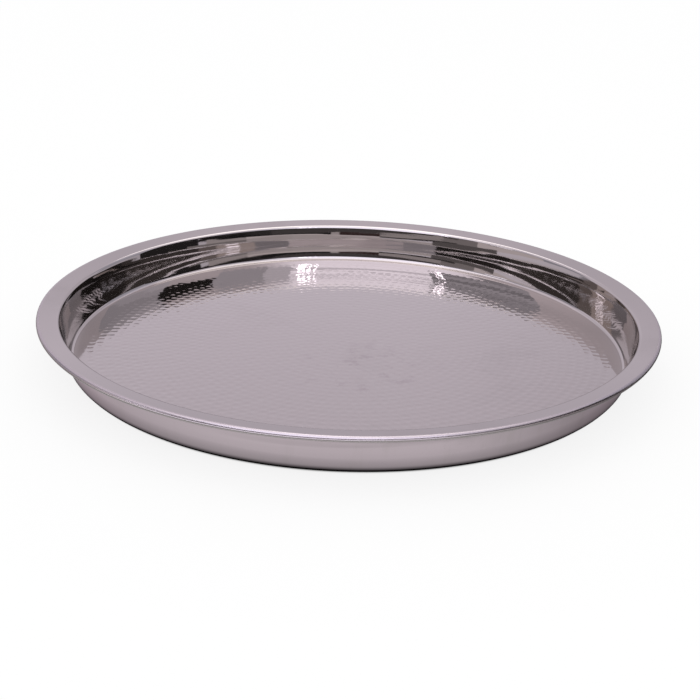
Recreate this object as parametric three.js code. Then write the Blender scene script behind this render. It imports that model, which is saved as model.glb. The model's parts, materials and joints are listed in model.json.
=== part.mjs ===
// Round serving tray with a hammered floor, built of two nested steel pressings.
// The pan is the hammered dish that carries the food. The shell is the smooth outer skin that it
// stands on. The edge of the pan is curled over a wire, and the curl closes on the edge of the shell.
// Millimetres, +Z up. The origin is the centre of the base, on the surface that the tray stands on.
import * as THREE from "three";

// Overall sizes
const TRAY_DIAMETER = 400; // over the curled edge
const TRAY_HEIGHT = 31.1; // from the table to the top of the curled edge

// Rim and wall, measured on the faces that show from above
const RIM_WIDTH = 13.7; // outside of the curl to the corner where rim and wall would meet
const RIM_SLOPE = 10; // degrees that the rim rises outwards
const RIM_CORNER_RADIUS = 2.4; // between wall and rim
const WALL_TAPER = 11.3; // degrees that the wall leans outwards
const FLOOR_CORNER_RADIUS = 3; // between floor and wall
const FLOOR_HEIGHT = 3; // from the table to the face of the floor

// Base of the shell
const BASE_CORNER_RADIUS = 8; // outside, between base and wall
const REST_RING_WIDTH = 17; // from the corner of base and wall in to the foot of the panel's step
const PANEL_STEP_RUN = 5; // how far that step, up to the panel under the floor, reaches inwards
const PANEL_STEP_RADIUS = 3; // rounding at both ends of the step

// Material and fits
const PAN_SHEET = 0.7;
const SHELL_SHEET = 0.6;
const WIRE_DIAMETER = 1.3;
const WIRE_BUTT_GAP = 0.6; // between the two ends of the wire
const FIT_GAP = 0.3; // left between pieces that touch on the real tray

// Fineness of the facets
const TURN_SEGMENTS = 64; // round the tray
const WIRE_SIDES = 8; // round the wire
const BEND_STEP = 14; // degrees of a bend that one facet covers, at most
const CURL_STEP = 24; // the same, on the tight curl

const toRadians = THREE.MathUtils.degToRad;
const rimSlope = toRadians(RIM_SLOPE);
const wallHeading = toRadians(90 - WALL_TAPER);

// Directions in the tray's section: x is the radius, y the height
const alongHeading = (angle) => new THREE.Vector2(Math.cos(angle), Math.sin(angle));
const leftOfHeading = (angle) => new THREE.Vector2(-Math.sin(angle), Math.cos(angle));
const offset = (point, direction, distance) => point.clone().addScaledVector(direction, distance);

// Curled edge: the wire lies at its centre
const wireRadius = WIRE_DIAMETER / 2;
const curlInnerRadius = wireRadius + FIT_GAP;
const curlOuterRadius = curlInnerRadius + PAN_SHEET;
const curlCentre = new THREE.Vector2(TRAY_DIAMETER / 2 - curlOuterRadius, TRAY_HEIGHT - curlOuterRadius);

// Corners of the pan, where its straight faces would meet
const rimTop = offset(curlCentre, leftOfHeading(rimSlope), curlOuterRadius);
const rimCornerRadius = TRAY_DIAMETER / 2 - RIM_WIDTH;
const rimCorner = new THREE.Vector2(
  rimCornerRadius,
  rimTop.y - (rimTop.x - rimCornerRadius) * Math.tan(rimSlope),
);
const floorCorner = new THREE.Vector2(
  rimCorner.x - (rimCorner.y - FLOOR_HEIGHT) / Math.tan(wallHeading),
  FLOOR_HEIGHT,
);

// The shell follows the underside of the pan at this distance from the pan's upper face
const nestDepth = PAN_SHEET + FIT_GAP;

// A run of a sheet's upper face is a list of points, each with the normal that points out of that face.

// Bend from one heading to another. A left turn has its centre on the side of the upper face.
function bend(centre, radius, fromHeading, toHeading, step) {
  const turn = toHeading - fromHeading;
  const count = Math.max(1, Math.ceil(Math.abs(turn) / toRadians(step)));
  return Array.from({ length: count + 1 }, (_, i) => {
    const normal = leftOfHeading(fromHeading + (turn * i) / count);
    return { point: offset(centre, normal, turn > 0 ? -radius : radius), normal };
  });
}

// Straight runs through the given corners, with a bend of its own radius at each corner between.
function runThrough(corners) {
  const headings = corners.slice(1).map((c, i) => c.at.clone().sub(corners[i].at).angle());
  const wrapped = headings.map((h) => (h > Math.PI ? h - 2 * Math.PI : h));
  const run = [{ point: corners[0].at, normal: leftOfHeading(wrapped[0]) }];
  for (let i = 1; i < corners.length - 1; i++) {
    const [before, after] = [wrapped[i - 1], wrapped[i]];
    const { at, radius } = corners[i];
    const tangent = radius * Math.tan(Math.abs(after - before) / 2);
    const start = offset(at, alongHeading(before), -tangent);
    const centre = offset(start, leftOfHeading(before), after > before ? radius : -radius);
    run.push(...bend(centre, radius, before, after, BEND_STEP));
  }
  run.push({ point: corners.at(-1).at, normal: leftOfHeading(wrapped.at(-1)) });
  return run;
}

// A sheet of even thickness turned round the tray's axis, from its upper face.
function spunSheet(upperFace, thickness) {
  const underside = upperFace.map(({ point, normal }) => offset(point, normal, -thickness));
  const outline = [...underside, ...upperFace.map(({ point }) => point).reverse()];
  return new THREE.LatheGeometry(outline, TURN_SEGMENTS).rotateX(Math.PI / 2);
}

// Pan: floor, wall and rim in one pressing, and the curl that starts where the rim ends
function hammeredPan() {
  const dish = runThrough([
    { at: new THREE.Vector2(0, FLOOR_HEIGHT) },
    { at: floorCorner, radius: FLOOR_CORNER_RADIUS },
    { at: rimCorner, radius: RIM_CORNER_RADIUS },
    { at: rimTop },
  ]);
  // The curl takes over at the end of the rim, and stops just under the edge of the shell's rim
  const stack = nestDepth + SHELL_SHEET + FIT_GAP;
  const mouth = Math.asin((stack - curlOuterRadius) / curlInnerRadius);
  const curlTurn = toRadians(270) - mouth;
  const curl = bend(curlCentre, curlOuterRadius, rimSlope, rimSlope - curlTurn, CURL_STEP);
  return spunSheet([...dish.slice(0, -1), ...curl], PAN_SHEET);
}

// Shell: raised panel, resting ring and wall, and a rim that reaches into the mouth of the curl
function outerShell() {
  const panelTop = FLOOR_HEIGHT - PAN_SHEET - FIT_GAP;
  const wallSide = leftOfHeading(wallHeading);
  const rimSide = leftOfHeading(rimSlope);
  const cornerSide = wallSide.clone().add(rimSide).divideScalar(1 + wallSide.dot(rimSide));
  const shellRimCorner = offset(rimCorner, cornerSide, -nestDepth);
  const baseCorner = new THREE.Vector2(
    shellRimCorner.x - (shellRimCorner.y - SHELL_SHEET) / Math.tan(wallHeading),
    SHELL_SHEET,
  );
  const rimEdge = offset(
    offset(rimTop, rimSide, -nestDepth),
    alongHeading(rimSlope),
    -(wireRadius + FIT_GAP),
  );
  const stepFoot = baseCorner.x - REST_RING_WIDTH;
  const upperFace = runThrough([
    { at: new THREE.Vector2(0, panelTop) },
    { at: new THREE.Vector2(stepFoot - PANEL_STEP_RUN, panelTop), radius: PANEL_STEP_RADIUS },
    { at: new THREE.Vector2(stepFoot, SHELL_SHEET), radius: PANEL_STEP_RADIUS },
    { at: baseCorner, radius: BASE_CORNER_RADIUS - SHELL_SHEET },
    { at: shellRimCorner, radius: RIM_CORNER_RADIUS - nestDepth },
    { at: rimEdge },
  ]);
  return spunSheet(upperFace, SHELL_SHEET);
}

// Wire: one length bent into a ring, with its ends butted at the far side
class WireRing extends THREE.Curve {
  getPoint(t, target = new THREE.Vector3()) {
    const halfGap = WIRE_BUTT_GAP / 2 / curlCentre.x;
    const angle = Math.PI / 2 + halfGap + t * (2 * Math.PI - 2 * halfGap);
    return target.set(curlCentre.x * Math.cos(angle), curlCentre.x * Math.sin(angle), 0);
  }
}

function rimWire() {
  const section = new THREE.Shape().absarc(0, 0, wireRadius, 0, 2 * Math.PI);
  return new THREE.ExtrudeGeometry(section, {
    extrudePath: new WireRing(),
    steps: TURN_SEGMENTS,
    curveSegments: WIRE_SIDES / 2, // an arc is drawn with two sides for each of these
    bevelEnabled: false,
  });
}

// Finishes
const hammeredSteel = new THREE.MeshStandardMaterial({ color: 0xb9b2b7, roughness: 0.1, metalness: 1 });
const polishedSteel = new THREE.MeshStandardMaterial({ color: 0xb4adb2, roughness: 0.16, metalness: 1 });
const drawnWire = new THREE.MeshStandardMaterial({ color: 0x9a979a, roughness: 0.35, metalness: 1 });

function piece(name, geometry, material) {
  const mesh = new THREE.Mesh(geometry, material);
  mesh.name = name;
  return mesh;
}

const tray = new THREE.Group();
const wire = piece("rim_wire", rimWire(), drawnWire);
wire.position.z = curlCentre.y;
tray.add(
  piece("hammered_pan", hammeredPan(), hammeredSteel),
  piece("outer_shell", outerShell(), polishedSteel),
  wire,
);

export default tray;
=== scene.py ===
"""Looks of a round serving tray: the hammered pan, the smooth shell under it and the wire in its edge.

Metres, +Z up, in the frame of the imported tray. Sheet sizes are written in millimetres times MM.
"""

import json
import math
import random

import bmesh
import bpy
from mathutils import Matrix, Vector
from mathutils.geometry import delaunay_2d_cdt


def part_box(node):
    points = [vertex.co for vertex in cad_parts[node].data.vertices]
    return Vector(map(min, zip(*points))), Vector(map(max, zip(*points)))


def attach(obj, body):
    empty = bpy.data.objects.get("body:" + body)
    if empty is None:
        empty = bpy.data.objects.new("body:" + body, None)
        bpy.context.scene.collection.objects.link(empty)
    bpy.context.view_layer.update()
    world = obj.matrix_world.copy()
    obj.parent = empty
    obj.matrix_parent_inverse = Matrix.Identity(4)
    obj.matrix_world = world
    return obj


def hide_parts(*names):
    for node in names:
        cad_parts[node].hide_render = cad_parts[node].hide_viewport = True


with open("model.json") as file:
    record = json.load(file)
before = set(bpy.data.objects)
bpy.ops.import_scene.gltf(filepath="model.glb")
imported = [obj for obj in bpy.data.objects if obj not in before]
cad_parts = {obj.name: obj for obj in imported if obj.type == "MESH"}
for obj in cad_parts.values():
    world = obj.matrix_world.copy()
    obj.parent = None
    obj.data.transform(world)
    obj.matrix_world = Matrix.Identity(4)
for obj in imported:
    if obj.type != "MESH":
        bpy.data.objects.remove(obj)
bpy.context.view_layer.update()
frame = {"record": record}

MM = 0.001

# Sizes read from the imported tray
PAN_LOW, PAN_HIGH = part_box("hammered_pan")
WIRE_LOW, WIRE_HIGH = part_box("rim_wire")
MOUNTS = {mount["name"]: mount for mount in frame["record"]["mounts"]}
TRAY_RADIUS = PAN_HIGH.x
TRAY_HEIGHT = PAN_HIGH.z
FLOOR_HEIGHT = MOUNTS["serving_floor"]["pos_m"][2]
WIRE_RADIUS = (WIRE_HIGH.z - WIRE_LOW.z) / 2
WIRE_RING_RADIUS = WIRE_HIGH.x - WIRE_RADIUS
PAN_SHEET = FLOOR_HEIGHT - PAN_LOW.z

# Sizes of the pressings
SHELL_SHEET = 0.6 * MM
FIT_GAP = 0.3 * MM  # between pan, shell and wire
RIM_WIDTH = 13.7 * MM  # outside of the curl to the corner of rim and wall
RIM_SLOPE = math.radians(10)
RIM_CORNER_RADIUS = 2.4 * MM
WALL_HEADING = math.radians(90 - 11.3)  # the wall leans outwards
WALL_SWING = math.radians(3.1)  # the wall is this much steeper at half height, and less steep at its ends
FLOOR_CORNER_RADIUS = 3 * MM
BASE_CORNER_RADIUS = 8 * MM
REST_RING_WIDTH = 17 * MM
PANEL_STEP_RUN = 5 * MM
PANEL_STEP_RADIUS = 3 * MM
WIRE_BUTT_GAP = 0.6 * MM

# Hammer marks on the floor
MARK_PITCH = 6 * MM  # along a ring of marks
MARK_RING_STEP = 5.4 * MM  # from one ring of marks to the next
MARK_JITTER = 0.5 * MM
MARK_DEPTH = 0.13 * MM  # next to the wall
MARK_MIDDLE = 0.5  # share of that depth in the middle of the floor
MARK_GROWTH = 3  # power of the radius with which the marks get deeper from there
MARK_DEPTH_SPREAD = 0.35  # share of the depth by which marks differ
MARK_SPOKE = 0.55  # where a mark's bowl has its middle ring of points, of the way to the ridge
MARK_MARGIN = 7 * MM  # smooth strip between the marks and the wall
MARGIN_RINGS = (0.1, 0.35, 0.65, 1.0)  # rings of points on that strip, as shares of its width
RIDGE_CLEARANCE = 0.4 * MM  # ridges keep this far from the edge of the marks
SHORTEST_RIDGE = 0.2 * MM
MARK_SEED = 11

# Fineness of the meshes
TURNS = 320  # points round the tray
BEND_STEP = math.radians(8)
CURL_STEP = math.radians(16)
STRAIGHT_STEP = 1.0 * MM  # on straight runs of wall and rim
FLAT_STEP = 12 * MM  # on the flat panel and ring of the base
FLAT_NORMAL = 0.999  # the normal of a flat run rises at least this much
WALL_NORMAL = -0.9  # and that of the wall points inwards at least this much
WIRE_SIDES = 16
TINY = 1e-6  # a length below this counts as none
MESH_TOLERANCE = 1e-9  # of the triangles between the marks
SHARP_EDGE = math.radians(50)  # edges that turn by more than this stay sharp

# Slow ripples that pressing leaves in the wall and rim: waves round the tray and their height
RIPPLES = ((5, 0.020 * MM), (9, 0.014 * MM), (17, 0.007 * MM), (31, 0.003 * MM))
RIPPLE_SHIFT = 0.35  # radians by which they wander round the tray from ring to ring of points
RIPPLE_WANDER = 0.5  # radians of that wandering for each ring
RIPPLE_SEED = 5

# Colours of the steel
STEEL = (0.66, 0.617, 0.587)
STEEL_DULL = (0.61, 0.57, 0.54)
SHELL_STEEL = (0.65, 0.56, 0.60)
SHELL_STEEL_DULL = (0.60, 0.52, 0.555)
EDGE_STEEL = (0.66, 0.60, 0.605)
EDGE_STEEL_DULL = (0.61, 0.555, 0.56)
STAIN = (0.52, 0.465, 0.46)
STEEL_GRAZING = (0.86, 0.86, 0.86)  # tint of what polished steel throws back at a low angle
SHELL_GRAZING = (0.95, 0.84, 0.90)
FLOOR_GRAZING = (1.0, 1.0, 1.0)

# Patterns in the finish: how fine each is, per metre, and between which of its values it sets in
WHEEL_LINES = 900
LINE_BREAKS = 26
LINE_BREAK_RANGE = (0.35, 0.7)
SMUDGES = 14
SMUDGE_RANGE = (0.52, 0.78)
FLECKS = 420
FLECK_RANGE = (0.03, 0.10)
SCRATCHES = 2600
SCRATCH_STRENGTH = 0.02
SCRATCH_DEPTH = 0.1 * MM
SCUFFS = 95
SCUFF_RANGE = (0.52, 0.68)
SCUFF_SHARE = 0.6
SCUFF_PLACE = (0.01, -0.045, 0.0)
SCUFF_REACH = (0.02, 0.06)  # distances from that place between which the scuffs fade
STREAKS = 75
STREAK_RANGE = (0.5, 0.75)
STREAK_SHARE = 0.35
STREAK_SQUASH = (1, 1, 0.12)  # draws the streaks out upwards

# Viewpoint
CAMERA_PLACE = (0.0011, -0.6844, 0.2751)
CAMERA_DOWN = math.radians(22.175)
CAMERA_ROLL = math.radians(1.785)
CAMERA_LENS = 56.57
SENSOR_WIDTH = 36
NEAREST_SEEN = 0.01

# Studio
BACKDROP_SHADES = (  # by the sine of the elevation
    (0.03, (0.52, 0.48, 0.55)),
    (0.27, (0.69, 0.637, 0.732)),
    (0.50, (0.585, 0.54, 0.62)),
    (0.65, (0.75, 0.69, 0.79)),
)
BACK_RIGHT = (0.02, 0.3)  # between these sideways parts of a direction, the surround grows duller
BACK_RIGHT_LOSS = 0.14
FLOOR_LIGHT = 1.05  # level of the surround for all but the camera and the metal
FLOOR_RADIUS = 6.0  # of the paper floor that the tray stands on
FLOOR_SIDES = 128
FLOOR_DROP = 0.05 * MM  # of the floor below the resting ring
PAPER_ROUGHNESS = 0.9
PAPER = (0.95, 0.95, 0.95)
# Painted contact shadow: the paper's colour right under the tray, where it meets the floor
PAINTED_CONTACT_SHADOW = (0.02, 0.02, 0.02)
FLOOR_GLOW = 0.84  # share of the floor's white that no shadow takes away
CONTACT_REACH = (0.1765, 0.1795)  # radii between which the painted contact shadow on the floor right under the tray fades out
SHADE_START = 0.181  # radius at which the painted shade on the floor that the metal sees begins to lift
SHADE_WIDTH = 0.09
SHADE_STOPS = (  # how bright the painted shade leaves it, by the share of that width
    (0.0, 0.0),
    (0.06, 0.40),
    (0.15, 0.62),
    (0.25, 0.68),
    (0.29, 0.52),
    (0.36, 0.32),
    (0.80, 0.32),
    (1.0, 1.0),
)
UNDER_REACH = 0.172  # radius at which the painted light on the floor under the tray, which shows in the tray's underside, ends
UNDER_STOPS = (  # by the share of that radius; painted darker below the panel's step, so that the step shows
    (0.0, 0.7),
    (0.91, 0.7),
    (0.925, 0.3),
    (0.94, 0.3),
    (0.955, 0.6),
    (0.98, 0.6),
    (1.0, 0.0),
)
RIGHT_SIDE = (0.05, 0.19)  # between these distances to the right, the floor that the metal sees is painted darker
RIGHT_PAINTED_SHADE = 0.5
LEFT_SIDE = (-0.20, -0.06)  # and the same at the left
LEFT_PAINTED_SHADE = 0.15
HIGH_TINT = (1.0, 0.97, 1.15)  # of the cloth, the panes and the other cool cards
LOW_TINT = (1.0, 0.89, 0.94)  # of most cards that stand low
WARM_TINT = (1.75, 1.0, 1.0)  # of the dark band in front

# Lit cloth over the front of the tray
SCRIM_MIDDLE = (-0.6, -2.0)
SCRIM_HALF_WIDTH = 2.8
SCRIM_HALF_DEPTH = 2.4
SCRIM_HEIGHT = 2.4
SCRIM_FADE = (0.5, 1.0)  # shares of its reach between which it fades
SCRIM_LEVEL = 1.4

# Lamps over the tray: name, left, right, front and back edge, and level
SOFTBOX_HEIGHT = 1.2
SOFTBOXES = (
    ("top_softbox", -0.9, 0.7, -0.1, 0.35, 0.5),
    ("back_right_softbox", 0.27, 0.6, 0.36, 0.9, 0.6),
    ("back_softbox", -0.26, 0.26, 0.36, 1.45, 1.2),
)

# Cards that show only in the metal. Angles round the tray are in degrees to the right of the camera.
CARD_STEPS = 16  # flat stretches that a card has round the tray
CARD_DISTANCE = 1.8
BAND_DISTANCE = 1.78
LOW_DISTANCE = 1.76
NEAR_DISTANCE = 1.74

# Panes of a lit screen, one over the other, each with its levels at the left and in front
PANES = (
    (0.46, 0.95),
    (0.34, 1.4),
    (0.47, 0.95),
    (0.28, 1.45),
    (0.46, 0.95),
    (0.34, 1.45),
)
PANE_SIDES = (("left", -105, -43), ("front", -43, 32))
PANE_FOOT = 28  # elevation of the lowest pane, in degrees
PANE_HEIGHT = 3  # degrees

# Standing cards: name, two angles round the tray, two elevations in degrees, level, tint and distance
STANDING_CARDS = (
    ("front_lamp_edge", 32, 46, 28, 46, 0.72, HIGH_TINT, CARD_DISTANCE),
    ("right_high_card", 46, 74, 32, 46, 0.49, HIGH_TINT, CARD_DISTANCE),
    ("back_left_card", -125, -95, 7, 28, 0.30, HIGH_TINT, CARD_DISTANCE),
    ("left_card", -95, -60, 7, 28, 0.50, LOW_TINT, CARD_DISTANCE),
    ("left_edge_card", -60, -43, 7, 28, 0.20, LOW_TINT, CARD_DISTANCE),
    ("front_card", -43, 38, 11.4, 28, 0.06, LOW_TINT, CARD_DISTANCE),
    ("right_card", 38, 74, 8, 32, 0.03, LOW_TINT, CARD_DISTANCE),
    ("far_right_card", 74, 106, -1, 39, 0.018, LOW_TINT, CARD_DISTANCE),
    ("back_right_low_card", 106, 135, 6, 22, 0.36, HIGH_TINT, CARD_DISTANCE),
    ("back_right_card", 106, 150, 22, 34, 0.40, HIGH_TINT, CARD_DISTANCE),
    ("back_right_step", 106, 150, 34, 38, 0.48, HIGH_TINT, CARD_DISTANCE),
    ("back_right_edge", 106, 150, 38, 43, 0.57, HIGH_TINT, CARD_DISTANCE),
    ("band_right", 10, 80, 9.0, 11.4, 0.012, LOW_TINT, BAND_DISTANCE),
    ("band_middle", -13, 6, 9.3, 11.4, 0.02, WARM_TINT, BAND_DISTANCE),
    ("band_gap", 6, 10, 9.3, 11.4, 0.37, LOW_TINT, BAND_DISTANCE),
    ("band_left", -43, -13, 9.6, 11.4, 0.30, LOW_TINT, BAND_DISTANCE),
    ("band_left_line", -50, -13, 8.2, 9.6, 0.03, LOW_TINT, BAND_DISTANCE),
    ("low_middle_card", -38, 28, -1, 7.0, 0.40, LOW_TINT, LOW_DISTANCE),
    ("low_middle_edge", -13, 50, 7.0, 9.2, 0.50, LOW_TINT, LOW_DISTANCE),
    ("low_right_card", 28, 50, -1, 7.0, 0.38, LOW_TINT, LOW_DISTANCE),
    ("low_right_line", 50, 90, -1, 3.2, 0.48, LOW_TINT, LOW_DISTANCE),
    ("low_right_gap", 50, 80, 3.2, 5.5, 0.18, LOW_TINT, LOW_DISTANCE),
    ("low_right_step", 50, 70, 5.5, 9.0, 0.33, LOW_TINT, LOW_DISTANCE),
    ("low_left_line", -105, -38, -1, 3.2, 0.45, LOW_TINT, LOW_DISTANCE),
    ("low_left_card", -70, -38, 3.2, 8.2, 0.10, LOW_TINT, LOW_DISTANCE),
    ("left_window", -80, -68, 20, 26, 1.9, HIGH_TINT, NEAR_DISTANCE),
)

# Bright strips in front of the panes: where each starts and how wide it is, in degrees
STRIPS = ((19, 0.6), (22, 0.8), (24.4, 1.2), (26.6, 1.6), (-50, 1.2), (-47, 0.5))
STRIP_ELEVATIONS = (38, 48)
STRIP_LEVEL = 4.5

# Cards that lie on the floor: name, two angles round the tray, distance of the near edge, level and tint
CARD_LIFT = 0.4 * MM  # height at which they lie
MAT_REACH = 1.75  # distance of the far edge
MATS = (
    ("front_paper", -56, 28, 0.31, 1.2, HIGH_TINT),
    ("right_edge_mat", 44, 74, 0.25, 0.24, LOW_TINT),
    ("right_mat", 74, 118, 0.222, 0.012, LOW_TINT),
    ("left_mat", -135, -66, 0.235, 0.32, LOW_TINT),
)


# Sections of the pressings. A run is a list of (point, normal) pairs on a sheet's upper face, with the
# radius as x and the height as y.


def along(heading):
    return Vector((math.cos(heading), math.sin(heading)))


def left_of(heading):
    return Vector((-math.sin(heading), math.cos(heading)))


def bend(centre, radius, start, end, step):
    """A round stretch between two headings. A left turn has its centre on the upper side."""
    turn = end - start
    count = max(1, math.ceil(abs(turn) / step))
    normals = [left_of(start + turn * i / count) for i in range(count + 1)]
    side = -radius if turn > 0 else radius
    return [(centre + normal * side, normal) for normal in normals]


def run_through(corners):
    """Straight runs through (corner, radius) pairs, rounded at every corner but the first and last."""
    points = [Vector(corner) for corner, radius in corners]
    headings = [math.atan2(*reversed(b - a)) for a, b in zip(points, points[1:])]
    run = [(points[0], left_of(headings[0]))]
    for point, (_, radius), before, after in zip(points[1:], corners[1:], headings, headings[1:]):
        start = point - along(before) * radius * math.tan(abs(after - before) / 2)
        centre = start + left_of(before) * math.copysign(radius, after - before)
        run += bend(centre, radius, before, after, BEND_STEP)
    return run + [(points[-1], left_of(headings[-1]))]


def with_steps(run):
    """The run with points added on its straight stretches. The wall, which is steepest, gets its S."""
    stepped = [run[0]]
    for (a, normal_a), (b, normal_b) in zip(run, run[1:]):
        straight = (normal_b - normal_a).length < TINY
        length = (b - a).length
        step = FLAT_STEP if normal_b.y > FLAT_NORMAL else STRAIGHT_STEP
        count = max(1, math.ceil(length / step)) if straight else 1
        swing = WALL_SWING * length / math.tau if normal_b.x < WALL_NORMAL else 0.0
        for i in range(1, count + 1):
            point = a.lerp(b, i / count) - normal_b * swing * math.sin(math.tau * i / count)
            stepped.append((point, normal_b))
    return stepped


def underside(run, thickness):
    return [point - normal * thickness for point, normal in run]


CURL_RADIUS = TRAY_RADIUS - WIRE_RING_RADIUS  # outside of the curl
CURL_CENTRE = Vector((WIRE_RING_RADIUS, TRAY_HEIGHT - CURL_RADIUS))
RIM_TOP = CURL_CENTRE + left_of(RIM_SLOPE) * CURL_RADIUS
RIM_CORNER_X = TRAY_RADIUS - RIM_WIDTH
RIM_CORNER = Vector((RIM_CORNER_X, RIM_TOP.y - (RIM_TOP.x - RIM_CORNER_X) * math.tan(RIM_SLOPE)))
FLOOR_CORNER_X = RIM_CORNER.x - (RIM_CORNER.y - FLOOR_HEIGHT) / math.tan(WALL_HEADING)
FLOOR_CORNER_SETBACK = FLOOR_CORNER_RADIUS * math.tan(WALL_HEADING / 2)
FLOOR_EDGE = FLOOR_CORNER_X - FLOOR_CORNER_SETBACK  # where the flat floor ends
MARKED_EDGE = FLOOR_EDGE - MARK_MARGIN  # where the hammer marks end
NEST_DEPTH = PAN_SHEET + FIT_GAP  # from the pan's upper face to the shell's


def pan_run():
    """Upper face of the pan from the edge of the flat floor to the end of the curl."""
    dish = run_through([
        ((0, FLOOR_HEIGHT), 0),
        ((FLOOR_CORNER_X, FLOOR_HEIGHT), FLOOR_CORNER_RADIUS),
        (RIM_CORNER, RIM_CORNER_RADIUS),
        (RIM_TOP, 0),
    ])
    stack = NEST_DEPTH + SHELL_SHEET + FIT_GAP
    mouth = math.asin((stack - CURL_RADIUS) / (CURL_RADIUS - PAN_SHEET))
    curl_turn = math.radians(270) - mouth
    curl = bend(CURL_CENTRE, CURL_RADIUS, RIM_SLOPE, RIM_SLOPE - curl_turn, CURL_STEP)
    return with_steps(dish[1:]) + curl[1:]


def shell_run():
    """Upper face of the shell from the axis to its edge in the mouth of the curl."""
    wall_side, rim_side = left_of(WALL_HEADING), left_of(RIM_SLOPE)
    corner_side = (wall_side + rim_side) / (1 + wall_side.dot(rim_side))
    rim_corner = RIM_CORNER - corner_side * NEST_DEPTH
    base_corner_x = rim_corner.x - (rim_corner.y - SHELL_SHEET) / math.tan(WALL_HEADING)
    step_foot = base_corner_x - REST_RING_WIDTH
    panel_top = PAN_LOW.z - FIT_GAP
    edge = RIM_TOP - rim_side * NEST_DEPTH - along(RIM_SLOPE) * (WIRE_RADIUS + FIT_GAP)
    return with_steps(run_through([
        ((0, panel_top), 0),
        ((step_foot - PANEL_STEP_RUN, panel_top), PANEL_STEP_RADIUS),
        ((step_foot, SHELL_SHEET), PANEL_STEP_RADIUS),
        ((base_corner_x, SHELL_SHEET), BASE_CORNER_RADIUS - SHELL_SHEET),
        (rim_corner, RIM_CORNER_RADIUS - NEST_DEPTH),
        (edge, 0),
    ]))


# Meshes


def ripple(angle, phases):
    """How far pressing has pushed the sheet out of round at an angle."""
    return sum(height * math.sin(waves * angle + phase) for (waves, height), phase in zip(RIPPLES, phases))


def ripple_share(point):
    """How much of the ripples a point of a section takes: none on the floor or at the stiff curl."""
    up = (point.y - FLOOR_HEIGHT) / (RIM_CORNER.y - FLOOR_HEIGHT)
    inwards = (RIM_TOP.x - point.x) / (RIM_WIDTH / 2)
    return min(1.0, max(0.0, up)) * min(1.0, max(0.0, inwards))


def turned(mesh, outline, rippled):
    """Adds a surface turned round the axis to a bmesh and gives back its rings of points.

    rippled gives each outline point the share of the ripples that it takes.
    """
    rng = random.Random(RIPPLE_SEED)
    phases = [rng.uniform(0, math.tau) for _ in RIPPLES]
    rings = []
    for level, (point, share) in enumerate(zip(outline, rippled)):
        shift = RIPPLE_SHIFT * math.sin(level * RIPPLE_WANDER)
        ring = []
        for i in range(TURNS):
            angle = math.tau * i / TURNS
            radius = point.x + share * ripple(angle + shift, phases)
            ring.append(mesh.verts.new((radius * math.cos(angle), radius * math.sin(angle), point.y)))
        rings.append(ring)
    for inner, outer in zip(rings, rings[1:]):
        for i in range(TURNS):
            j = (i + 1) % TURNS
            mesh.faces.new((inner[i], inner[j], outer[j], outer[i]))
    return rings


def finished(mesh, name, node, materials):
    """Turns a bmesh into a smooth piece of the tray that stands for its CAD node."""
    bmesh.ops.remove_doubles(mesh, verts=mesh.verts, dist=TINY)
    bmesh.ops.recalc_face_normals(mesh, faces=mesh.faces)
    data = bpy.data.meshes.new(name)
    mesh.to_mesh(data)
    mesh.free()
    data.shade_smooth()
    data.set_sharp_from_angle(angle=SHARP_EDGE)
    for material in materials:
        data.materials.append(material)
    piece = bpy.data.objects.new(name, data)
    bpy.context.collection.objects.link(piece)
    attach(piece, "root")
    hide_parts(node)
    return piece


def hammer_marks():
    """Places of the hammer marks, in rings from the middle of the floor outwards, with their depths."""
    rng = random.Random(MARK_SEED)
    places = [Vector((0, 0))]
    ring_count = int((MARKED_EDGE - MARK_RING_STEP / 2) / MARK_RING_STEP)
    for ring in range(1, ring_count + 1):
        radius = ring * (MARKED_EDGE - MARK_RING_STEP / 2) / ring_count
        count = round(math.tau * radius / MARK_PITCH)
        first = rng.uniform(0, math.tau)
        for i in range(count):
            angle = first + math.tau * i / count
            place = along(angle) * (radius + rng.uniform(-MARK_JITTER, MARK_JITTER))
            places.append(place + left_of(angle) * rng.uniform(-MARK_JITTER, MARK_JITTER))
    depths = []
    for place in places:
        share = MARK_MIDDLE + (1 - MARK_MIDDLE) * (place.length / MARKED_EDGE) ** MARK_GROWTH
        depths.append(MARK_DEPTH * share * (1 + rng.uniform(-MARK_DEPTH_SPREAD, MARK_DEPTH_SPREAD)))
    return places, depths


def round_corner_of(a, b, c):
    """The point that lies equally far from three marks, where three ridges meet."""
    p, q = b - a, c - a
    double_area = 2 * p.cross(q)
    u, v = p.length_squared, q.length_squared
    return a + Vector((q.y * u - p.y * v, p.x * v - q.x * u)) / double_area


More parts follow.
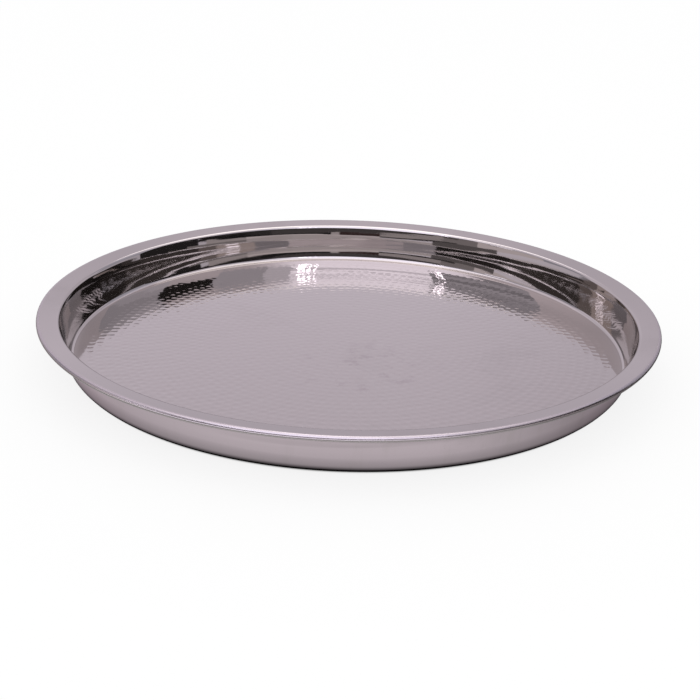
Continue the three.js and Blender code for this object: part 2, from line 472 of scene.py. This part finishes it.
def hammered_floor(mesh, edge_ring):
    """Adds the floor inside a ring of points. Each mark is a shallow bowl, with ridges between them."""
    marks, depths = hammer_marks()
    fence_count = round(math.tau * MARKED_EDGE / MARK_PITCH)
    fence_radius = MARKED_EDGE + MARK_RING_STEP / 2
    fence = [along(math.tau * i / fence_count) * fence_radius for i in range(fence_count)]
    seeds, _, cells, owners, *_ = delaunay_2d_cdt(marks + fence, [], [], 0, MESH_TOLERANCE)
    owner = [where[0] for where in owners]
    points = [vert.co.xy for vert in edge_ring]
    for share in MARGIN_RINGS:
        radius = FLOOR_EDGE - share * MARK_MARGIN
        points += [along(math.tau * i / TURNS) * radius for i in range(TURNS)]
    heights = [0.0] * len(points)
    ridges = []
    limit = MARKED_EDGE - RIDGE_CLEARANCE

    def add(point, height):
        points.append(point)
        heights.append(height)
        return len(points) - 1

    def spokes(point, around):
        """Puts the middle points of the bowls that meet at a ridge point."""
        for mark in around:
            if mark < len(marks):
                place = marks[mark].lerp(point, MARK_SPOKE)
                add(place, -depths[mark] * (1 - MARK_SPOKE**2))

    for mark, depth in zip(marks, depths):
        add(mark, -depth)
    corner_of, sides = {}, {}
    for n, cell in enumerate(cells):
        around = [owner[i] for i in cell]
        corner = round_corner_of(*(seeds[i] for i in cell))
        if corner.length < limit:
            corner_of[n] = add(corner, 0.0)
            spokes(corner, around)
        for pair in zip(around, around[1:] + around[:1]):
            sides.setdefault(tuple(sorted(pair)), []).append(n)
    for pair, beside in sides.items():
        if all(n in corner_of for n in beside) and len(beside) == 2:
            start, end = (corner_of[n] for n in beside)
            middle = (points[start] + points[end]) / 2
            if (points[start] - points[end]).length > SHORTEST_RIDGE:
                spokes(middle, pair)
                centre = add(middle, 0.0)
                ridges += [(start, centre), (centre, end)]
    flat, _, faces, origins, *_ = delaunay_2d_cdt(points, ridges, [], 0, MESH_TOLERANCE)
    verts = []
    for place, where in zip(flat, origins):
        height = heights[where[0]] if where else 0.0
        verts.append(mesh.verts.new((place.x, place.y, FLOOR_HEIGHT + height)))
    for face in faces:
        mesh.faces.new([verts[i] for i in face])


def make_pan(materials):
    mesh = bmesh.new()
    run = pan_run()
    lower = underside(run, PAN_SHEET)
    upper = [point for point, normal in reversed(run)]
    outline = lower + upper
    rings = turned(mesh, outline, [ripple_share(point) for point in outline])
    mesh.faces.new(rings[0])
    hammered_floor(mesh, rings[-1])
    pan = finished(mesh, "pan_hammered", "hammered_pan", materials)
    for face in pan.data.polygons:
        radius = face.center.xy.length
        face.material_index = 0 if radius < FLOOR_EDGE else 1 if radius < RIM_TOP.x else 2
    return pan


def make_shell(materials):
    mesh = bmesh.new()
    run = shell_run()
    lower = underside(run, SHELL_SHEET)
    upper = [point for point, normal in reversed(run)]
    outline = [point for point in lower + upper if point.x > TINY]
    rings = turned(mesh, outline, [ripple_share(point) for point in outline])
    mesh.faces.new(rings[0])
    mesh.faces.new(rings[-1])
    return finished(mesh, "shell_polished", "outer_shell", materials)


def make_wire(materials):
    """One length of wire bent into a ring, with its ends butted at the far side."""
    mesh = bmesh.new()
    half_gap = WIRE_BUTT_GAP / 2 / WIRE_RING_RADIUS
    middle = (WIRE_LOW.z + WIRE_HIGH.z) / 2
    hoops = []
    for i in range(TURNS + 1):
        angle = math.pi / 2 + half_gap + (math.tau - 2 * half_gap) * i / TURNS
        hoop = []
        for k in range(WIRE_SIDES):
            place = along(math.tau * k / WIRE_SIDES) * WIRE_RADIUS
            flat = along(angle) * (WIRE_RING_RADIUS + place.x)
            hoop.append(mesh.verts.new((flat.x, flat.y, middle + place.y)))
        hoops.append(hoop)
    for a, b in zip(hoops, hoops[1:]):
        for k in range(WIRE_SIDES):
            j = (k + 1) % WIRE_SIDES
            mesh.faces.new((a[k], b[k], b[j], a[j]))
    mesh.faces.new(hoops[0])
    mesh.faces.new(hoops[-1])
    return finished(mesh, "wire_drawn", "rim_wire", materials)


# Finishes


class Signal:
    """One output of a shader node, so that shader maths reads as an expression."""

    def __init__(self, tree, socket=None):
        self.tree = tree
        self.socket = socket

    def node(self, kind, settings=None, out=0, **values):
        """Adds a node, sets its settings, then its sockets by name, and gives one of its outputs."""
        node = self.tree.nodes.new(kind)
        for name, setting in (settings or {}).items():
            if name == "stops":
                while len(node.color_ramp.elements) < len(setting):
                    node.color_ramp.elements.new(0.5)
                for element, (place, shade) in zip(node.color_ramp.elements, setting):
                    element.position = place
                    element.color = (*([shade] * 3 if isinstance(shade, (int, float)) else shade), 1)
            else:
                setattr(node, name, setting)
        for name, value in values.items():
            key = int(name[1:]) if name[0] == "_" else name.replace("_", " ")
            self.put(node.inputs[key], value)
        return Signal(self.tree, node.outputs[out])

    def put(self, socket, value):
        if isinstance(value, Signal):
            self.tree.links.new(value.socket, socket)
        else:
            socket.default_value = value

    def maths(self, operation, *values):
        numbered = {f"_{i}": value for i, value in enumerate(values)}
        return self.node("ShaderNodeMath", {"operation": operation}, **numbered)

    def __add__(self, other):
        return self.maths("ADD", self, other)

    __radd__ = __add__

    def __sub__(self, other):
        return self.maths("SUBTRACT", self, other)

    def __rsub__(self, other):
        return self.maths("SUBTRACT", other, self)

    def __mul__(self, other):
        return self.maths("MULTIPLY", self, other)

    __rmul__ = __mul__

    def __truediv__(self, other):
        return self.maths("DIVIDE", self, other)

    def __pow__(self, other):
        return self.maths("POWER", self, other)

    def between(self, low, high):
        """0 below low, 1 above high, and smooth between them."""
        settings = {"interpolation_type": "SMOOTHSTEP"}
        return self.node("ShaderNodeMapRange", settings, Value=self, From_Min=low, From_Max=high)

    def mixed(self, first, second):
        """The first colour where this is 0 and the second where it is 1."""
        settings = {"data_type": "RGBA"}
        first, second = (end if isinstance(end, Signal) else (*end, 1) for end in (first, second))
        return self.node("ShaderNodeMix", settings, out=2, _0=self, _6=first, _7=second)


def floor_scuffs(sheet, place):
    """Rubbed spots near the middle of the floor."""
    settings = {"operation": "DISTANCE"}
    off = sheet.node("ShaderNodeVectorMath", settings, out="Value", _0=place, _1=SCUFF_PLACE)
    spots = sheet.node("ShaderNodeTexNoise", Vector=place, Scale=SCUFFS, Detail=5, Roughness=0.7)
    return SCUFF_SHARE * spots.between(*SCUFF_RANGE) * (1 - off.between(*SCUFF_REACH))


def wall_streaks(sheet, place):
    """Faint upright streaks that wiping leaves on the outside wall."""
    drawn = sheet.node("ShaderNodeVectorMath", {"operation": "MULTIPLY"}, _0=place, _1=STREAK_SQUASH)
    streaks = sheet.node("ShaderNodeTexNoise", Vector=drawn, Scale=STREAKS, Detail=4, Roughness=0.6)
    return STREAK_SHARE * streaks.between(*STREAK_RANGE)


def polished_steel(name, colour, dull_colour, roughness, lines, wear, grazing, stains=None):
    """Polished steel with fine lines left by the wheel round the tray, hand marks, flecks and scratches.

    lines says how much roughness the wheel's lines add, and wear how much the hand marks and flecks add.
    grazing tints what shows at a low angle. stains takes the finish and the place on it, and gives how
    much is stained there.
    """
    material = bpy.data.materials.new(name)
    material.use_nodes = True
    tree = material.node_tree
    shader = tree.nodes["Principled BSDF"]
    sheet = Signal(tree)
    place = sheet.node("ShaderNodeTexCoord", out="Object")
    parts = [sheet.node("ShaderNodeSeparateXYZ", out=i, _0=place) for i in range(3)]
    radius = (parts[0] * parts[0] + parts[1] * parts[1]) ** 0.5
    # Wheel lines follow the turn of the tray, so they change with radius and height alone
    track = sheet.node("ShaderNodeCombineXYZ", X=radius, Y=parts[2])
    coarse = sheet.node("ShaderNodeTexNoise", Vector=track, Scale=WHEEL_LINES, Detail=4, Roughness=0.7)
    broken = sheet.node("ShaderNodeTexNoise", Vector=place, Scale=LINE_BREAKS, Detail=3)
    wheel = coarse * broken.between(*LINE_BREAK_RANGE)
    smudge = sheet.node("ShaderNodeTexNoise", Vector=place, Scale=SMUDGES, Detail=6, Roughness=0.62)
    smear = smudge.between(*SMUDGE_RANGE)
    speck = sheet.node("ShaderNodeTexVoronoi", {"feature": "F1"}, Vector=place, Scale=FLECKS)
    fleck = 1 - speck.between(*FLECK_RANGE)
    shade = smear.mixed(colour, dull_colour)
    if stains:
        shade = stains(sheet, place).mixed(shade, STAIN)
    sheet.put(shader.inputs["Base Color"], shade)
    sheet.put(shader.inputs["Roughness"], roughness + wheel * lines + smear * wear + fleck * wear)
    shader.inputs["Metallic"].default_value = 1.0
    shader.inputs["Specular Tint"].default_value = (*grazing, 1)
    scratch = sheet.node("ShaderNodeTexNoise", Vector=track, Scale=SCRATCHES, Detail=2)
    bump = sheet.node("ShaderNodeBump", Strength=SCRATCH_STRENGTH, Distance=SCRATCH_DEPTH, Height=scratch)
    sheet.put(shader.inputs["Normal"], bump)
    return material


# Studio


def rays_shown(tree):
    """1 for rays from the camera, or from metal or glass, and 0 for the rest."""
    rays = ("Is Camera Ray", "Is Glossy Ray", "Is Transmission Ray")
    return sum(Signal(tree).node("ShaderNodeLightPath", out=name) for name in rays)


def plain_stage():
    """A pale floor under the tray. Most of its white shows by itself, so the shadow on it stays soft.

    From below it can be seen through, so that the underside of the tray shows.
    """
    bpy.ops.mesh.primitive_circle_add(
        vertices=FLOOR_SIDES,
        radius=FLOOR_RADIUS,
        fill_type="TRIFAN",
        location=(0, 0, -FLOOR_DROP),
    )
    floor = bpy.context.object
    floor.name = "floor"
    paper = bpy.data.materials.new("floor_paper")
    paper.use_nodes = True
    tree = paper.node_tree
    sheet = Signal(tree)
    shader = tree.nodes["Principled BSDF"]
    shader.inputs["Roughness"].default_value = PAPER_ROUGHNESS
    place = sheet.node("ShaderNodeTexCoord", out="Object")
    reach = sheet.node("ShaderNodeVectorMath", {"operation": "LENGTH"}, out="Value", _0=place)
    across = sheet.node("ShaderNodeSeparateXYZ", out=0, _0=place)
    lit = reach.between(*CONTACT_REACH)
    # The paper is painted near black right under the tray: a painted contact shadow
    sheet.put(shader.inputs["Base Color"], lit.mixed(PAINTED_CONTACT_SHADOW, PAPER))
    # The floor that the metal sees is emission, painted with shade near the tray and with a darker ring
    # beyond it
    away = (reach - SHADE_START) / SHADE_WIDTH
    shade = sheet.node("ShaderNodeValToRGB", {"stops": SHADE_STOPS}, Fac=away)
    # Painted shade: the floor that the metal sees is darker towards the right and the left
    side_painted_shade = RIGHT_PAINTED_SHADE * across.between(*RIGHT_SIDE) + LEFT_PAINTED_SHADE * (1 - across.between(*LEFT_SIDE))
    by_camera = sheet.node("ShaderNodeLightPath", out="Is Camera Ray")
    by_metal = rays_shown(tree) - by_camera
    glow = sheet.node("ShaderNodeEmission", Color=(1, 1, 1, 1), Strength=1.0)
    dark = sheet.node("ShaderNodeEmission", Color=(0, 0, 0, 1), Strength=1.0)
    share = FLOOR_GLOW * by_camera * lit
    in_view = sheet.node("ShaderNodeMixShader", _0=share, _1=Signal(tree, shader.outputs[0]), _2=glow)
    # Painted light on the floor under the tray, with a painted darker band below the panel's step
    under = sheet.node("ShaderNodeValToRGB", {"stops": UNDER_STOPS}, Fac=reach / UNDER_REACH)
    in_metal = sheet.node("ShaderNodeMixShader", _0=shade * (1 - side_painted_shade) + under, _1=dark, _2=glow)
    both = sheet.node("ShaderNodeMixShader", _0=by_metal, _1=in_view, _2=in_metal)
    from_below = sheet.node("ShaderNodeNewGeometry", out="Backfacing")
    clear = sheet.node("ShaderNodeBsdfTransparent")
    one_sided = sheet.node("ShaderNodeMixShader", _0=from_below, _1=both, _2=clear)
    sheet.put(tree.nodes["Material Output"].inputs["Surface"], one_sided)
    floor.data.materials.append(paper)


def backdrop():
    """A pale surround. The metal shows it as the camera does."""
    world = bpy.data.worlds.new("backdrop")
    bpy.context.scene.world = world
    world.use_nodes = True
    tree = world.node_tree
    sky = Signal(tree)
    place = sky.node("ShaderNodeTexCoord", out="Generated")
    height = sky.node("ShaderNodeSeparateXYZ", out=2, _0=place)
    shade = sky.node("ShaderNodeValToRGB", {"stops": BACKDROP_SHADES}, Fac=height)
    seen = sky.node("ShaderNodeBackground", Color=shade, Strength=1.0)
    lit = sky.node("ShaderNodeBackground", Color=(1, 1, 1, 1), Strength=FLOOR_LIGHT)
    dark = sky.node("ShaderNodeBackground", Color=(0, 0, 0, 1), Strength=1.0)
    across = sky.node("ShaderNodeSeparateXYZ", out=0, _0=place)
    loss = BACK_RIGHT_LOSS * across.between(*BACK_RIGHT)
    dimmed = sky.node("ShaderNodeMixShader", _0=loss, _1=seen, _2=dark)
    both = sky.node("ShaderNodeMixShader", _0=rays_shown(tree), _1=lit, _2=dimmed)
    sky.put(tree.nodes["World Output"].inputs["Surface"], both)


def softbox(name, left, right, front, back, level):
    """A flat lamp over the tray. In polished metal its level adds to that of the backdrop behind it."""
    data = bpy.data.lights.new(name, "AREA")
    data.shape = "RECTANGLE"
    data.size, data.size_y = right - left, back - front
    data.energy = level * math.pi * data.size * data.size_y
    lamp = bpy.data.objects.new(name, data)
    lamp.location = ((left + right) / 2, (front + back) / 2, SOFTBOX_HEIGHT)
    lamp.visible_camera = False
    lamp.visible_diffuse = False
    bpy.context.collection.objects.link(lamp)


def stand_in_metal(name, mesh, paint):
    """Makes a card of a bmesh that shows only in the metal, and neither lights nor shades the rest."""
    data = bpy.data.meshes.new(name)
    mesh.to_mesh(data)
    mesh.free()
    data.materials.append(paint)
    card = bpy.data.objects.new(name, data)
    bpy.context.collection.objects.link(card)
    card.visible_camera = False
    card.visible_diffuse = False
    card.visible_shadow = False


def glowing_paint(name, colour, cover=None):
    """A paint that shows at its own level. cover takes its node tree and gives how opaque it is."""
    paint = bpy.data.materials.new(name)
    paint.use_nodes = True
    tree = paint.node_tree
    sheet = Signal(tree)
    glow = sheet.node("ShaderNodeEmission", Color=(*colour, 1), Strength=1.0)
    if cover:
        clear = sheet.node("ShaderNodeBsdfTransparent")
        glow = sheet.node("ShaderNodeMixShader", _0=cover(tree), _1=clear, _2=glow)
    sheet.put(tree.nodes["Material Output"].inputs["Surface"], glow)
    return paint


def tinted(level, tint):
    return tuple(level * part for part in tint)


def front_scrim():
    """A lit sheet of cloth over the front of the tray, which fades towards its edges."""
    left, front = SCRIM_MIDDLE

    def fading(tree):
        sheet = Signal(tree)
        place = sheet.node("ShaderNodeTexCoord", out="Object")
        across = (sheet.node("ShaderNodeSeparateXYZ", out=0, _0=place) - left) / SCRIM_HALF_WIDTH
        away = (sheet.node("ShaderNodeSeparateXYZ", out=1, _0=place) - front) / SCRIM_HALF_DEPTH
        return 1 - ((across * across + away * away) ** 0.5).between(*SCRIM_FADE)

    mesh = bmesh.new()
    corners = [(-1, -1), (1, -1), (1, 1), (-1, 1)]
    mesh.faces.new([
        mesh.verts.new((left + SCRIM_HALF_WIDTH * x, front + SCRIM_HALF_DEPTH * y, SCRIM_HEIGHT))
        for x, y in corners
    ])
    cloth = glowing_paint("scrim_cloth", tinted(SCRIM_LEVEL, HIGH_TINT), fading)
    stand_in_metal("front_scrim", mesh, cloth)


def reflected_card(name, rows, colour):
    """A card of one colour. Each row has a distance from the middle of the tray, a height, and two angles
    round the tray between which it reaches."""
    mesh = bmesh.new()
    lines = []
    for distance, height, start, end in rows:
        line = []
        for i in range(CARD_STEPS + 1):
            flat = along(math.radians(start + (end - start) * i / CARD_STEPS - 90)) * distance
            line.append(mesh.verts.new((flat.x, flat.y, height)))
        lines.append(line)
    for lower, upper in zip(lines, lines[1:]):
        for i in range(CARD_STEPS):
            mesh.faces.new((lower[i], lower[i + 1], upper[i + 1], upper[i]))
    stand_in_metal(name, mesh, glowing_paint(name + "_paint", colour))


def standing_card(name, start, end, low, high, level, tint, distance):
    """A card that stands round the tray between two angles and two elevations, all in degrees."""
    edges = [distance * math.tan(math.radians(elevation)) for elevation in (low, high)]
    reflected_card(name, [(distance, height, start, end) for height in edges], tinted(level, tint))


def lying_card(name, start, end, near, level, tint):
    """A card that lies on the floor between two angles and reaches outwards from a distance."""
    edges = (near, MAT_REACH)
    reflected_card(name, [(distance, CARD_LIFT, start, end) for distance in edges], tinted(level, tint))


def camera():
    """The viewpoint of the photograph, fitted to the tray's rim, wall and base."""
    data = bpy.data.cameras.new("camera")
    data.sensor_width = SENSOR_WIDTH
    data.lens = CAMERA_LENS
    data.clip_start = NEAREST_SEEN
    view = bpy.data.objects.new("camera", data)
    view.matrix_world = (
        Matrix.Translation(CAMERA_PLACE)
        @ Matrix.Rotation(math.pi / 2 - CAMERA_DOWN, 4, "X")
        @ Matrix.Rotation(CAMERA_ROLL, 4, "Z")
    )
    bpy.context.collection.objects.link(view)
    bpy.context.scene.camera = view


camera()
plain_stage()
backdrop()
front_scrim()
for lamp in SOFTBOXES:
    softbox(*lamp)
for pane, levels in enumerate(PANES):
    foot = PANE_FOOT + PANE_HEIGHT * pane
    for (side, start, end), level in zip(PANE_SIDES, levels):
        name = f"{side}_pane_{pane + 1}"
        standing_card(name, start, end, foot, foot + PANE_HEIGHT, level, HIGH_TINT, CARD_DISTANCE)
for card in STANDING_CARDS:
    standing_card(*card)
for strip, (start, width) in enumerate(STRIPS):
    name = f"strip_{strip + 1}"
    standing_card(name, start, start + width, *STRIP_ELEVATIONS, STRIP_LEVEL, HIGH_TINT, NEAR_DISTANCE)
for mat in MATS:
    lying_card(*mat)

floor_finish = polished_steel(
    "hammered_floor_steel",
    STEEL,
    STEEL_DULL,
    roughness=0.045,
    lines=0.03,
    wear=0.05,
    grazing=FLOOR_GRAZING,
    stains=floor_scuffs,
)
wall_finish = polished_steel(
    "polished_rim_steel",
    STEEL,
    STEEL_DULL,
    roughness=0.03,
    lines=0.03,
    wear=0.04,
    grazing=STEEL_GRAZING,
)
edge_finish = polished_steel(
    "worn_edge_steel",
    EDGE_STEEL,
    EDGE_STEEL_DULL,
    roughness=0.24,
    lines=0.06,
    wear=0.08,
    grazing=STEEL_GRAZING,
)
shell_finish = polished_steel(
    "polished_shell_steel",
    SHELL_STEEL,
    SHELL_STEEL_DULL,
    roughness=0.06,
    lines=0.05,
    wear=0.08,
    grazing=SHELL_GRAZING,
    stains=wall_streaks,
)
wire_finish = polished_steel(
    "drawn_wire_steel",
    STEEL,
    STEEL_DULL,
    roughness=0.28,
    lines=0.10,
    wear=0.10,
    grazing=STEEL_GRAZING,
)
make_pan([floor_finish, wall_finish, edge_finish])
make_shell([shell_finish])
make_wire([wire_finish])

scene = bpy.context.scene
scene.view_settings.view_transform = "Standard"

bpy.context.view_layer.update()
